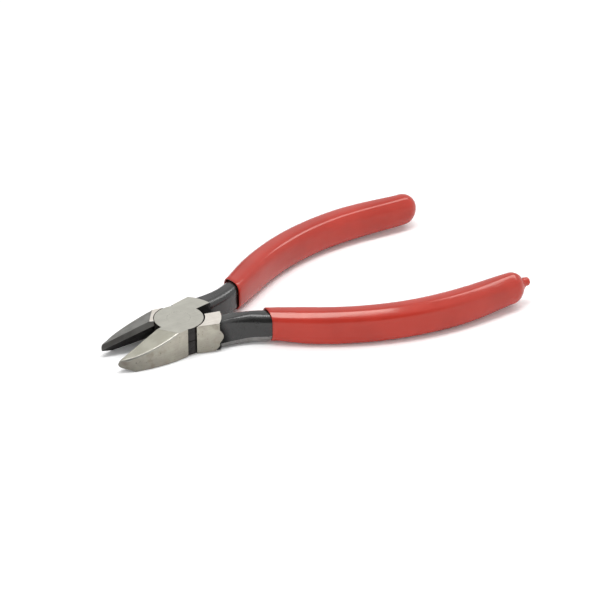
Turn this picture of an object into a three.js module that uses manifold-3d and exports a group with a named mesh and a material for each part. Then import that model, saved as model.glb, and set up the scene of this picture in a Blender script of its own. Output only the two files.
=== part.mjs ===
// Small lap-joint side cutters: two forged halves, a flush pivot rivet and two dipped grips.
// Millimetres and degrees. The pivot axis is Z, with z = 0 on the underside of the head.
// Jaws point along -X and handles along +X. Each half is drawn closed, then turned open about the pivot.

import * as THREE from 'three';
import { mergeVertices } from 'three/addons/utils/BufferGeometryUtils.js';
import Module from 'manifold-3d';

const wasm = await Module();
wasm.setup();

// Head and lap joint
const headThickness = 9.2;
const lapHeight = 4.7;
const lapClearance = 0.1;
const discRadius = 7.45;
const jawShoulderClearance = 0.25;
const blockShoulderClearance = 0.45;
const openingAngle = 23.2;

// Pivot rivet, countersunk and flush at both ends
const rivetDiameter = 5;
const rivetHeadOverhang = 1;
const rivetHeadDepth = 1;
const rivetClearance = 0.05;

// Jaw outline in plan: a straight side from the heel, then a curve in to the tip
const jawLength = 24;
const heelSetback = 2.7;
const heelStand = 0.05;
const jawSideLength = 4.3;
const jawSideTaper = 0.2;
const jawShoulderPull = 2;
const jawTipPull = 6.1;
const jawTipAngle = 49;
const jawTipHalfWidth = 0.6;

// Jaw faces: the cutting edge falls to the tip, with a bevel above it and a relief below it
const edgeClearance = 0.1;
const edgeRise = 1.13;
const edgeTipHeight = 2.55;
const ridgeRise = 3.1;
const ridgeTipHeight = 4.1;
const ridgeTilt = 0.16;
const bevelSlope = 2.3;
const reliefSlope = 0.85;
const tipLift = 2;
const tipLiftLength = 4;

// Block behind each lap disc, where the handle leaves the head
const blockFront = 3.35;
const blockFlare = 0.085;
const blockLength = 5;
const handleGap = 0.6;

// Handle centre line: its root in the block, then its knots, with slope and reach before and after
const handleRootInset = 1.1;
const handleRoot = { clearance: 0.15, slope: 0, after: 10.7 };
const handleBend = { x: 27.8, y: 6.1, slope: 0.32, before: 9, after: 5 };
const handleCrown = { x: 68.5, y: 16.1, slope: 0, before: 20.9, after: 19 };
const handleEnd = { x: 107.8, y: 9, slope: -0.1, before: 10.6 };

// Forged shank and tang sections, and how far along the centre line each one past the grip's mouth lies
const shankSection = { width: 6.2, height: 8.5 };
const mouthSection = { width: 5.9, height: 8.1 };
const bellySection = { at: 38, width: 5.8, height: 8.3 };
const waistSection = { at: 70, width: 5.8, height: 8.1 };
const tailSection = { at: 100, width: 5.2, height: 7.7 };
const forgedCorner = 1.9;
const fullestCorner = 0.95;

// Dipped grips, thin at the open rim and domed at the end
const gripRim = 26.1;
const gripWall = 1.15;
const gripRimWall = 0.7;
const gripRimTaper = 14;
const gripClearance = 0.15;
const gripDomeLength = 4.6;
const nippleDiameter = 3;
const nippleLength = 2.2;
const nippleRise = 0.9;

// How finely curves are divided, how far a cutting shape runs past what it cuts,
// and how far a grip is drawn past its open end before it is trimmed
const roundSegments = 72;
const outlineSegments = 14;
const cornerSegments = 3;
const stationSpacing = 4;
const domeRings = 4;
const cutOverrun = 1;
const gripLead = 4;

const headEnd = discRadius + blockShoulderClearance + blockLength;
const handleRootX = discRadius + blockShoulderClearance + handleRootInset;
const mouthDistance = gripRim - handleRootX;
const upperDiscBottom = lapHeight + lapClearance / 2;
const lowerDiscTop = lapHeight - lapClearance / 2;
const finishes = {
  steel: { color: 0xb4b1a8, roughness: 0.4, metalness: 0.9 },
  rivet: { color: 0xbdbab2, roughness: 0.35, metalness: 0.9 },
  grip: { color: 0xc0352b, roughness: 0.3, metalness: 0 },
};

// Solids and cuts

function solid(geometry) {
  const bare = geometry.clone();
  bare.deleteAttribute('normal');
  bare.deleteAttribute('uv');
  const merged = mergeVertices(bare);
  return new wasm.Manifold(new wasm.Mesh({
    numProp: 3,
    vertProperties: new Float32Array(merged.attributes.position.array),
    triVerts: new Uint32Array(merged.index.array),
  }));
}

function geometryOf(body) {
  const mesh = body.getMesh();
  const geometry = new THREE.BufferGeometry();
  geometry.setAttribute('position', new THREE.BufferAttribute(mesh.vertProperties, 3));
  geometry.setIndex(new THREE.BufferAttribute(mesh.triVerts, 1));
  return geometry;
}

function plate(shape, bottom, top) {
  const geometry = new THREE.ExtrudeGeometry(shape, {
    depth: top - bottom,
    bevelEnabled: false,
    curveSegments: outlineSegments,
  });
  return solid(geometry.translate(0, 0, bottom));
}

function disc(radius, bottom, top) {
  const geometry = new THREE.CylinderGeometry(radius, radius, top - bottom, roundSegments);
  geometry.rotateX(Math.PI / 2);
  return solid(geometry.translate(0, 0, (bottom + top) / 2));
}

function turned(profile) {
  const points = profile.map(([radius, height]) => new THREE.Vector2(radius, height));
  return solid(new THREE.LatheGeometry(points, roundSegments).rotateX(Math.PI / 2));
}

// A block that fills the side of a plane that the normal points to
function beyondPlane(point, normal) {
  const size = 4 * (jawLength + headThickness);
  const geometry = new THREE.BoxGeometry(size, size, size).translate(0, 0, size / 2);
  const up = new THREE.Vector3(0, 0, 1);
  geometry.applyQuaternion(new THREE.Quaternion().setFromUnitVectors(up, normal.normalize()));
  return solid(geometry.translate(point.x, point.y, point.z));
}

function mirroredInY(geometry) {
  const mirrored = geometry.clone().scale(1, -1, 1);
  const index = mirrored.index.array;
  for (let corner = 0; corner < index.length; corner += 3) {
    const first = index[corner];
    index[corner] = index[corner + 1];
    index[corner + 1] = first;
  }
  return mirrored;
}

// Pivot rivet and the hole for it

const rivetRadius = rivetDiameter / 2;
const rivetHeadRadius = rivetRadius + rivetHeadOverhang;

function rivetBody() {
  return turned([
    [0, 0],
    [rivetHeadRadius, 0],
    [rivetRadius, rivetHeadDepth],
    [rivetRadius, headThickness - rivetHeadDepth],
    [rivetHeadRadius, headThickness],
    [0, headThickness],
  ]);
}

function rivetHole() {
  const coneSlope = rivetHeadOverhang / rivetHeadDepth;
  const holeRadius = rivetRadius + rivetClearance;
  const mouthRadius = rivetHeadRadius + rivetClearance * Math.hypot(1, coneSlope);
  const coneDepth = (mouthRadius - holeRadius) / coneSlope;
  const outerRadius = mouthRadius + coneSlope * cutOverrun;
  return turned([
    [0, -cutOverrun],
    [outerRadius, -cutOverrun],
    [holeRadius, coneDepth],
    [holeRadius, headThickness - coneDepth],
    [outerRadius, headThickness + cutOverrun],
    [0, headThickness + cutOverrun],
  ]);
}

// Jaw, drawn on the -Y side

function jawOutline() {
  const heelRadius = discRadius + jawShoulderClearance + heelStand;
  const heelHalfWidth = Math.sqrt(heelRadius ** 2 - heelSetback ** 2);
  const halfWidth = heelHalfWidth - jawSideTaper;
  const sideEnd = heelSetback + jawSideLength;
  const tipAngle = THREE.MathUtils.degToRad(jawTipAngle);
  const outline = new THREE.Shape();
  outline.moveTo(0, -edgeClearance / 2);
  outline.lineTo(-jawLength, -edgeClearance / 2);
  outline.lineTo(-jawLength, -jawTipHalfWidth);
  outline.bezierCurveTo(
    -jawLength + jawTipPull * Math.cos(tipAngle), -jawTipHalfWidth - jawTipPull * Math.sin(tipAngle),
    -sideEnd - jawShoulderPull, -halfWidth,
    -sideEnd, -halfWidth,
  );
  outline.lineTo(-heelSetback, -heelHalfWidth);
  outline.closePath();
  return outline;
}

function jawBody() {
  const edgeHeight = headThickness + edgeRise;
  const edgeSlope = (edgeHeight - edgeTipHeight) / jawLength;
  const edge = new THREE.Vector3(0, -edgeClearance / 2, edgeHeight);
  const ridgeHeight = headThickness + ridgeRise;
  const ridgeSlope = (ridgeHeight - ridgeTipHeight) / jawLength;
  const ridge = new THREE.Vector3(0, 0, ridgeHeight);
  const tipUnderside = new THREE.Vector3(-jawLength, 0, tipLift);
  return plate(jawOutline(), 0, headThickness)
    .subtract(beyondPlane(ridge, new THREE.Vector3(-ridgeSlope, -ridgeTilt, 1)))
    .subtract(beyondPlane(edge, new THREE.Vector3(-edgeSlope, bevelSlope, 1)))
    .subtract(beyondPlane(edge, new THREE.Vector3(reliefSlope * edgeSlope, 1, -reliefSlope)))
    .subtract(beyondPlane(tipUnderside, new THREE.Vector3(-tipLift / tipLiftLength, 0, -1)));
}

// Block, drawn on the +Y side and ended by an arc about the pivot

function blockBody() {
  const frontHalfWidth = Math.sqrt((discRadius + blockShoulderClearance) ** 2 - blockFront ** 2);
  const inner = handleGap / 2;
  const innerAngle = Math.asin(inner / headEnd);
  const sideOffset = (frontHalfWidth - blockFlare * blockFront) / Math.hypot(1, blockFlare);
  const outerAngle = Math.atan(blockFlare) + Math.asin(sideOffset / headEnd);
  const outline = new THREE.Shape();
  outline.moveTo(0, inner);
  outline.lineTo(headEnd * Math.cos(innerAngle), inner);
  outline.absarc(0, 0, headEnd, innerAngle, outerAngle);
  outline.lineTo(blockFront, frontHalfWidth);
  outline.closePath();
  return plate(outline, 0, headThickness);
}

// Handle centre line and the sections swept along it

function handlePath() {
  const root = {
    ...handleRoot,
    x: handleRootX,
    y: handleGap / 2 + handleRoot.clearance + shankSection.width / 2,
  };
  const knots = [root, handleBend, handleCrown, handleEnd];
  const reach = (knot, distance) => {
    const direction = new THREE.Vector2(1, knot.slope).normalize();
    return new THREE.Vector2(knot.x, knot.y).addScaledVector(direction, distance);
  };
  const path = new THREE.CurvePath();
  for (let i = 0; i + 1 < knots.length; i += 1) {
    const [from, to] = [knots[i], knots[i + 1]];
    path.add(new THREE.CubicBezierCurve(
      reach(from, 0),
      reach(from, from.after),
      reach(to, -to.before),
      reach(to, 0),
    ));
  }
  return path;
}

const centreLine = handlePath();
const centreLength = centreLine.getLength();

// The bare forging's width and height at a distance along the centre line
function forgedSection(distance) {
  const sections = [
    { ...shankSection, at: 0 },
    { ...mouthSection, at: mouthDistance },
    bellySection,
    waistSection,
    tailSection,
  ];
  const next = sections.findIndex((section) => section.at > distance);
  if (next < 0) {
    return tailSection;
  }
  const before = sections[Math.max(next - 1, 0)];
  const after = sections[next];
  const blend = THREE.MathUtils.smoothstep(distance, before.at, after.at);
  return {
    width: THREE.MathUtils.lerp(before.width, after.width, blend),
    height: THREE.MathUtils.lerp(before.height, after.height, blend),
  };
}

// One ring of a rounded section, scaled about the centre line
function sectionRing(distance, growth, scale) {
  const share = distance / centreLength;
  const centre = centreLine.getPoint(share);
  const tangent = centreLine.getTangent(share);
  const { width, height } = forgedSection(distance);
  const halfWidth = width / 2 + growth;
  const halfHeight = height / 2 + growth;
  const corner = Math.min(forgedCorner + growth, fullestCorner * halfWidth, fullestCorner * halfHeight);
  const ring = [];
  for (let quarter = 0; quarter < 4; quarter += 1) {
    const sideSign = quarter === 0 || quarter === 3 ? 1 : -1;
    const upSign = quarter < 2 ? 1 : -1;
    for (let step = 0; step <= cornerSegments; step += 1) {
      const angle = (quarter + step / cornerSegments) * Math.PI / 2;
      const across = scale * (sideSign * (halfWidth - corner) + corner * Math.cos(angle));
      const up = scale * (upSign * (halfHeight - corner) + corner * Math.sin(angle));
      ring.push([
        centre.x - tangent.y * across,
        centre.y + tangent.x * across,
        headThickness / 2 + up,
      ]);
    }
  }
  return ring;
}

// A closed skin over a row of rings, with a flat fan on each end
function skin(rings) {
  const count = rings[0].length;
  const points = rings.flat();
  const triangles = [];
  for (let row = 0; row + 1 < rings.length; row += 1) {
    for (let i = 0; i < count; i += 1) {
      const here = row * count + i;
      const beside = row * count + (i + 1) % count;
      triangles.push(here, beside, here + count, beside, beside + count, here + count);
    }
  }
  const last = (rings.length - 1) * count;
  for (let i = 1; i + 1 < count; i += 1) {
    triangles.push(0, i + 1, i);
    triangles.push(last, last + i, last + i + 1);
  }
  const geometry = new THREE.BufferGeometry();
  geometry.setAttribute('position', new THREE.Float32BufferAttribute(points.flat(), 3));
  geometry.setIndex(triangles);
  return solid(geometry);
}

// A handle-shaped solid from one distance to another, domed at its far end.
// Rings lie at the same distances on every such solid, so that one nests inside another.
function handleBody(start, end, domeLength, growthAt) {
  const domeStart = end - domeLength;
  const rings = [sectionRing(start, growthAt(start), 1)];
  const firstStation = Math.floor(start / stationSpacing) + 1;
  for (let station = firstStation; station * stationSpacing < domeStart; station += 1) {
    const distance = station * stationSpacing;
    rings.push(sectionRing(distance, growthAt(distance), 1));
  }
  for (let ring = 0; ring <= domeRings; ring += 1) {
    const angle = ring / (domeRings + 1) * Math.PI / 2;
    const distance = domeStart + domeLength * Math.sin(angle);
    rings.push(sectionRing(distance, growthAt(distance), Math.cos(angle)));
  }
  return skin(rings);
}

// The two halves

function halfBody(discBottom, discTop, recessBottom, recessTop) {
  const tangEnd = centreLength - gripWall - gripClearance;
  const tangDome = gripDomeLength - gripWall - gripClearance;
  const jaw = jawBody().subtract(disc(discRadius + jawShoulderClearance, recessBottom, recessTop));
  const block = blockBody().subtract(disc(discRadius + blockShoulderClearance, recessBottom, recessTop));
  return disc(discRadius, discBottom, discTop)
    .add(jaw)
    .add(block)
    .add(handleBody(0, tangEnd, tangDome, () => 0))
    .subtract(rivetHole());
}

function upperHalf() {
  return halfBody(upperDiscBottom, headThickness, -cutOverrun, upperDiscBottom);
}

function lowerHalf() {
  return halfBody(0, lowerDiscTop, lowerDiscTop, headThickness + cutOverrun);
}

// The grips, drawn past their open end and trimmed square to the tool's length

function gripSkin() {
  const growthAt = (distance) => gripClearance + THREE.MathUtils.lerp(
    gripRimWall,
    gripWall,
    THREE.MathUtils.smoothstep(distance, mouthDistance, mouthDistance + gripRimTaper),
  );
  return handleBody(mouthDistance - gripLead, centreLength, gripDomeLength, growthAt);
}

function gripCavity() {
  const start = mouthDistance - gripLead - cutOverrun;
  const end = centreLength - gripWall;
  return handleBody(start, end, gripDomeLength - gripWall, () => gripClearance);
}

function gripBody(skinBody) {
  const rim = new THREE.Vector3(gripRim, 0, headThickness / 2);
  return skinBody
    .subtract(gripCavity())
    .subtract(beyondPlane(rim, new THREE.Vector3(-1, 0, 0)));
}

// The drip left on a grip's end by dipping
function nippleBody() {
  const radius = nippleDiameter / 2;
  const end = centreLine.getPoint(1);
  const tangent = centreLine.getTangent(1);
  const geometry = new THREE.CapsuleGeometry(radius, nippleLength, cornerSegments, 4 * cornerSegments);
  geometry.rotateZ(Math.atan2(tangent.y, tangent.x) - Math.PI / 2);
  const middle = nippleLength / 2 - radius;
  const height = headThickness / 2 + nippleRise;
  geometry.translate(end.x + tangent.x * middle, end.y + tangent.y * middle, height);
  return solid(geometry);
}

// Assembly: the lower half is drawn as an upper one and mirrored

function piece(name, geometry, finish) {
  const mesh = new THREE.Mesh(geometry, new THREE.MeshStandardMaterial(finish));
  mesh.name = name;
  return mesh;
}

function openedBy(angle, ...pieces) {
  const group = new THREE.Group();
  group.rotation.z = THREE.MathUtils.degToRad(angle);
  group.add(...pieces);
  return group;
}

const upperGrip = gripBody(gripSkin());
const lowerGrip = gripBody(gripSkin().add(nippleBody()));

const sideCutters = new THREE.Group();
sideCutters.add(
  openedBy(
    openingAngle / 2,
    piece('upper_half', geometryOf(upperHalf()), finishes.steel),
    piece('upper_grip', geometryOf(upperGrip), finishes.grip),
  ),
  openedBy(
    -openingAngle / 2,
    piece('lower_half', mirroredInY(geometryOf(lowerHalf())), finishes.steel),
    piece('lower_grip', mirroredInY(geometryOf(lowerGrip)), finishes.grip),
    piece('pivot_rivet', geometryOf(rivetBody()), finishes.rivet),
  ),
);

export default sideCutters;
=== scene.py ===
"""Looks of small lap-joint side cutters: two forged halves, a flush pivot rivet and two dipped grips.

Sizes are millimetres in the part's own frame: the pivot axis is Z and the jaws point along -X.
Each half is drawn closed, with its jaw on -Y and its handle on +Y, then turned open about the pivot
and changed to metres. The lower half is drawn as an upper one and mirrored. Angles are degrees.
"""

from bisect import bisect_right
from math import asin, atan, ceil, copysign, cos, degrees, hypot, pi, radians, sin, sqrt

import bmesh
import bpy
from mathutils import Matrix, Vector, noise

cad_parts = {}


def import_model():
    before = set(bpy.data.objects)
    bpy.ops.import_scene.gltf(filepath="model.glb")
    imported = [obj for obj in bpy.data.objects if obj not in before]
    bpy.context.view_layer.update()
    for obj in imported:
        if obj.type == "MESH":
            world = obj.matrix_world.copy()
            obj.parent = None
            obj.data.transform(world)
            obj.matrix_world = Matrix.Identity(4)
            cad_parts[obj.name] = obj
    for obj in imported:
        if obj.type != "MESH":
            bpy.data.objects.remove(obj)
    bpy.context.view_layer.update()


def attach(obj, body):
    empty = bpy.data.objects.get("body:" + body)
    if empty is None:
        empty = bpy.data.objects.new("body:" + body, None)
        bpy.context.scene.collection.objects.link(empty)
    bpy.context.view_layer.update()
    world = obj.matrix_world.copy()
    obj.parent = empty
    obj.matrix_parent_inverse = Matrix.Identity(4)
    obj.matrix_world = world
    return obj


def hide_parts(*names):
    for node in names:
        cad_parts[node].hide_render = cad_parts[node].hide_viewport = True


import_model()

MM = 0.001

# Which half a piece belongs to, and which side of it a one-sided feature is on
UPPER, NEITHER, LOWER = 1, 0, -1
ABOVE, BELOW = 1, -1

# Head and lap joint
HEAD_THICKNESS = 9.2
LAP_HEIGHT = 4.7
LAP_LINE = 0.24
DISC_RADIUS = 7.45
JAW_CLEARANCE = 0.17
BLOCK_CLEARANCE = 0.45
OPENING_ANGLE = 23.2

# Pivot rivet
RIVET_RADIUS = 2.5
RIVET_HEAD_RADIUS = 3.5
RIVET_HEAD_DEPTH = 1.0
RIVET_CLEARANCE = 0.02

# Jaw outline and faces
JAW_LENGTH = 24.0
HEEL_SETBACK = 2.7
HEEL_STAND = 0.13
JAW_SIDE_LENGTH = 4.3
JAW_SIDE_TAPER = 0.2
JAW_SHOULDER_PULL = 2.0
JAW_TIP_PULL = 6.1
JAW_TIP_ANGLE = 49.0
JAW_TIP_HALF_WIDTH = 0.6
EDGE_STAND = 0.05
EDGE_RISE = 1.13
EDGE_TIP_HEIGHT = 2.55
RIDGE_RISE = 3.25
RIDGE_TIP_HEIGHT = 4.1
RIDGE_TILT = 0.16
BEVEL_SLOPE = 2.3
RELIEF_SLOPE = 0.85
TIP_LIFT = 2.0
TIP_LIFT_LENGTH = 4.0
NOSE_LENGTH = 0.7
NOSE_SHRINK = 0.35

# Block behind the lap disc, and the tongue that its ground side runs out in
BLOCK_FRONT = 3.35
BLOCK_FLARE = 0.085
BLOCK_LENGTH = 5.0
HANDLE_GAP = 0.6
TONGUE_REACH = 1.35
TONGUE_HEIGHT = 4.75
TONGUE_HALF_HEIGHT = 2.6
TONGUE_DEPTH = 2.2
TONGUE_FLATNESS = 0.6
CORNER_CUT = {"x": 8.9, "rise": 2.6, "run": 2.2, "depth": 0.55}

# Handle centre line: the root, the bend at the grip's mouth, the crown and the end
HANDLE_ROOT_INSET = 1.1
HANDLE_ROOT = {"clearance": 0.15, "slope": 0.0, "after": 10.7}
HANDLE_BEND = {"x": 27.8, "y": 6.1, "slope": 0.32, "before": 9.0, "after": 5.0}
HANDLE_CROWN = {"x": 68.5, "y": 16.1, "slope": 0.0, "before": 20.9, "after": 19.0}
HANDLE_END = {"x": 107.8, "y": 9.0, "slope": -0.1, "before": 10.6}

# Forged sections, width by height, at a distance along the centre line
GRIP_RIM = 26.1
SHANK_SECTION = (6.2, 8.5)
MOUTH_SECTION = (5.9, 8.1)
BELLY_SECTION = (5.8, 8.3)
BELLY_AT = 38.0
WAIST_SECTION = (5.8, 8.1)
WAIST_AT = 70.0
TAIL_SECTION = (5.2, 7.7)
TAIL_AT = 100.0
FORGED_CORNER = 1.9
SHANK_FLARE = 0.1
SHANK_FLARE_START = 2.0
SHANK_FLARE_LENGTH = 6.5
SHANK_DRAFT = 0.9
SHANK_DROP = 0.4
SHANK_DRAFT_END = 6.0
HANDLE_LIFT = {"height": 0.28, "start": 6.0, "full": 15.0, "fall": 17.0, "end": 33.0}

# Corners of the bare shank: size across and up, and flatness from 1 for a round one to 2 for a chamfer
TOP_OUTER_CORNER = (1.2, 1.2, 1.0)
TOP_OUTER_CORNER_AT_RIM = (2.7, 2.9, 1.0)
BOTTOM_OUTER_CORNER = (0.8, 1.75, 2.0)
INNER_CORNER = (2.3, 2.3, 1.0)
# Turns of the section where the lower outer corner is rubbed bare and lightened as a painted reflection of
# the floor
RUBBED_AND_PAINTED_REFLECTION_BAND = (270.0, 355.0)

# Dipped grips
GRIP_WALL = 1.15
GRIP_RIM_WALL = 0.7
GRIP_RIM_TAPER = 14.0
GRIP_CLEARANCE = 0.15
GRIP_MOUTH_CLEARANCE = 0.18
GRIP_MOUTH_LENGTH = 2.0
GRIP_RIM_SHIFT = 0.3
GRIP_RIM_LEAN = 0.39
GRIP_RIM_LEAN_RUN = 6.0
GRIP_DOME_LENGTH = 4.6
GRIP_INSET = 0.06
GRIP_WAVE = 0.05
GRIP_WAVE_LENGTH = 14.0
GRIP_WAVE_UPRIGHT_SHARE = 0.5
GRIP_WAVE_SEED = 1
UPPER_WAVE_START = 3.0
LOWER_WAVE_START = 11.0
SQUARENESS = {"rim": 3.0, "plain": 2.8, "low_outside": 3.5, "facet": 3.2, "end": 2.15}
SQUARENESS_RUN = 24.0
GRIP_FACET = {"wide": 1.4, "tall": 0.85, "low": 48.0, "high": 64.0}
LIP_EDGE = 0.26
LIP_SHARES = (0.35, 0.65)
MOUTH_STEPS = 5
NIPPLE_DOME_ANGLE = 62.0
NIPPLE_RADIUS = 1.45
NIPPLE_LENGTH = 2.1
NIPPLE_RISE = 0.9

# The nipple's outline from the dome to its tip: share of its length, and of its radius
NIPPLE_SHAPE = (
    (0.3, 1.05), (0.5, 0.98), (0.68, 0.96), (0.8, 0.88), (0.9, 0.72), (0.96, 0.5), (0.99, 0.25),
)

# Rounding of the ground edges, and the most of a face that it may take
RIDGE_ROUNDING = 0.45
RIDGE_TIP_ROUNDING = 1.1
RIDGE_ROUNDING_RUN = (20.0, 23.0)
SIDE_FOOT_ROUNDING = 0.35
BEVEL_ROUNDING = 0.2
CUTTING_EDGE_ROUNDING = 0.05
RELIEF_FOOT_ROUNDING = 0.2
CREASE_ROUNDING = 0.3
CHEEK_ROUNDING = 0.14
BLOCK_ROUNDING = 0.2
ROUNDING_SHARE = 0.45

# How finely the pieces are divided
RING_POINTS = 72
CIRCLE_POINTS = 144
LINE_SAMPLES = 400
JAW_CURVE_STEPS = 56
JAW_SIDE_STEPS = 24
CORNER_STEPS = 5
ROUNDING_STEPS = 3
ARC_STEPS = 24
DOME_STEPS = 14
DOME_LAST_ANGLE = 86.0
CAVITY_DOME_STEPS = 5
CAVITY_LAST_ANGLE = 75.0
SHANK_SPACING = 0.5
GRIP_SPACING = 0.9
TANG_SPACING = 4.0
SHARP_ANGLE = 28.0

# Small distances that keep faces apart, weld points and run cutters past what they cut
SLIVER = 0.03
GROUND_STEP = 0.005
WELD_DISTANCE = 0.0001
OVERRUN = 1.0

# Zones of a forged half, in the order of its material slots
CHEEK, SLOPE, BEVEL, SIDE, WORN, OXIDE, RUBBED_AND_PAINTED_REFLECTION, RECESS, WALL = range(9)

HEAD_END = DISC_RADIUS + BLOCK_CLEARANCE + BLOCK_LENGTH
HANDLE_ROOT_X = DISC_RADIUS + BLOCK_CLEARANCE + HANDLE_ROOT_INSET
MOUTH_DISTANCE = GRIP_RIM - HANDLE_ROOT_X
RIM_DISTANCE = MOUTH_DISTANCE + GRIP_RIM_SHIFT
UPPER_DISC_BOTTOM = LAP_HEIGHT + LAP_LINE / 2
LOWER_DISC_TOP = LAP_HEIGHT - LAP_LINE / 2

# Directions round a handle's section, none of them square to a side
RING_ANGLES = [2 * pi * (step + 0.5) / RING_POINTS for step in range(RING_POINTS)]


def lerp(start, end, share):
    return start + (end - start) * share


def spread(start, end, steps):
    return [lerp(start, end, step / steps) for step in range(steps + 1)]


def blended(first, second, share):
    return tuple(lerp(start, end, share) for start, end in zip(first, second))


def smoothstep(value, low, high):
    share = min(max((value - low) / (high - low), 0.0), 1.0)
    return share * share * (3.0 - 2.0 * share)


def bezier(start, start_control, end_control, end, share):
    rest = 1.0 - share
    first_half = rest ** 3 * start + 3 * rest ** 2 * share * start_control
    return first_half + 3 * rest * share ** 2 * end_control + share ** 3 * end


def new_object(name, data):
    made = bpy.data.objects.new(name, data)
    bpy.context.scene.collection.objects.link(made)
    return made


# Meshes, in millimetres

def mesh_object(name, points, faces, zones, finishes):
    """A new object from points and faces, with its faces turned outward."""
    mesh = bpy.data.meshes.new(name)
    mesh.from_pydata(points, [], faces)
    for finish in finishes:
        mesh.materials.append(finish)
    mesh.polygons.foreach_set("material_index", zones)
    work = bmesh.new()
    work.from_mesh(mesh)
    bmesh.ops.recalc_face_normals(work, faces=work.faces)
    work.to_mesh(mesh)
    work.free()
    return new_object(name, mesh)


def skin(name, rings, zone_of, cap_zones, finishes):
    """A closed skin over a row of rings, with a flat face on each end."""
    count = len(rings[0])
    points = [point for ring in rings for point in ring]
    faces = []
    zones = []
    for row in range(len(rings) - 1):
        for i in range(count):
            here = row * count + i
            beside = row * count + (i + 1) % count
            face = (here, beside, beside + count, here + count)
            faces.append(face)
            zones.append(zone_of(row, i, [points[corner] for corner in face]))
    last = (len(rings) - 1) * count
    faces.append(tuple(range(count)))
    faces.append(tuple(range(last, last + count)))
    zones += cap_zones
    return mesh_object(name, points, faces, zones, finishes)


def turned(name, profile, zones, finishes):
    """A solid turned about the pivot axis. Its profile starts and ends there, with a zone a stretch."""
    angles = [2 * pi * step / CIRCLE_POINTS for step in range(CIRCLE_POINTS)]
    rings = [
        [(radius * cos(angle), radius * sin(angle), height) for angle in angles]
        for radius, height in profile[1:-1]
    ]
    cap_zones = (zones[0], zones[-1])
    return skin(name, rings, lambda row, i, corners: zones[row + 1], cap_zones, finishes)


def inset(outline, distance):
    """An outline that runs anticlockwise, moved in by a distance."""
    moved = []
    for i, point in enumerate(outline):
        before = (point - outline[i - 1]).normalized()
        after = (outline[(i + 1) % len(outline)] - point).normalized()
        first = Vector((-before.y, before.x))
        second = Vector((-after.y, after.x))
        moved.append(point + (first + second) * (distance / (1.0 + first.dot(second))))
    return moved


def quarter_round(rounding):
    """Steps round an edge, from the flat face to the wall: how far in, and how far down."""
    angles = [pi / 2 * step / ROUNDING_STEPS for step in range(ROUNDING_STEPS + 1)]
    return [(rounding * (1 - sin(angle)), rounding * (1 - cos(angle))) for angle in angles]


def prism(name, outline, side_zones, cap_zone, bottom, top, rounding, finishes, place=None):
    """An upright solid on an outline, with its bottom and top edges rounded."""
    levels = quarter_round(rounding)
    rings = [[(p.x, p.y, bottom + rise) for p in inset(outline, pull)] for pull, rise in levels]
    rings += [[(p.x, p.y, top - rise) for p in inset(outline, pull)] for pull, rise in reversed(levels)]
    if place:
        rings = [[place(*point) for point in ring] for ring in rings]
    return skin(name, rings, lambda row, i, corners: side_zones[i], (cap_zone, cap_zone), finishes)


def combined(base, other, operation):
    """The base joined with or cut by another solid, which is removed."""
    modifier = base.modifiers.new("combine", "BOOLEAN")
    modifier.operation = operation
    modifier.object = other
    modifier.solver = "EXACT"
    modifier.material_mode = "INDEX"
    depsgraph = bpy.context.evaluated_depsgraph_get()
    mesh = bpy.data.meshes.new_from_object(base.evaluated_get(depsgraph))
    base.modifiers.remove(modifier)
    base.data = mesh
    bpy.data.objects.remove(other)
    return base


def joined(base, other):
    return combined(base, other, "UNION")


def cut(base, other):
    return combined(base, other, "DIFFERENCE")


# Jaw

def jaw_stations():
    """Places along the jaw, tip first: x, and how far out the side stands there."""
    heel_radius = DISC_RADIUS + JAW_CLEARANCE + HEEL_STAND
    heel = Vector((-HEEL_SETBACK, sqrt(heel_radius ** 2 - HEEL_SETBACK ** 2)))
    shoulder = Vector((-HEEL_SETBACK - JAW_SIDE_LENGTH, heel.y - JAW_SIDE_TAPER))
    tip = Vector((-JAW_LENGTH, JAW_TIP_HALF_WIDTH))
    tip_angle = radians(JAW_TIP_ANGLE)
    tip_control = tip + JAW_TIP_PULL * Vector((cos(tip_angle), sin(tip_angle)))
    shoulder_control = shoulder - Vector((JAW_SHOULDER_PULL, 0.0))
    shares = spread(0.0, 1.0, JAW_CURVE_STEPS)
    curve = [bezier(tip, tip_control, shoulder_control, shoulder, share) for share in shares]
    return curve + [shoulder.lerp(heel, share) for share in spread(0.0, 1.0, JAW_SIDE_STEPS)[1:]]


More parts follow.
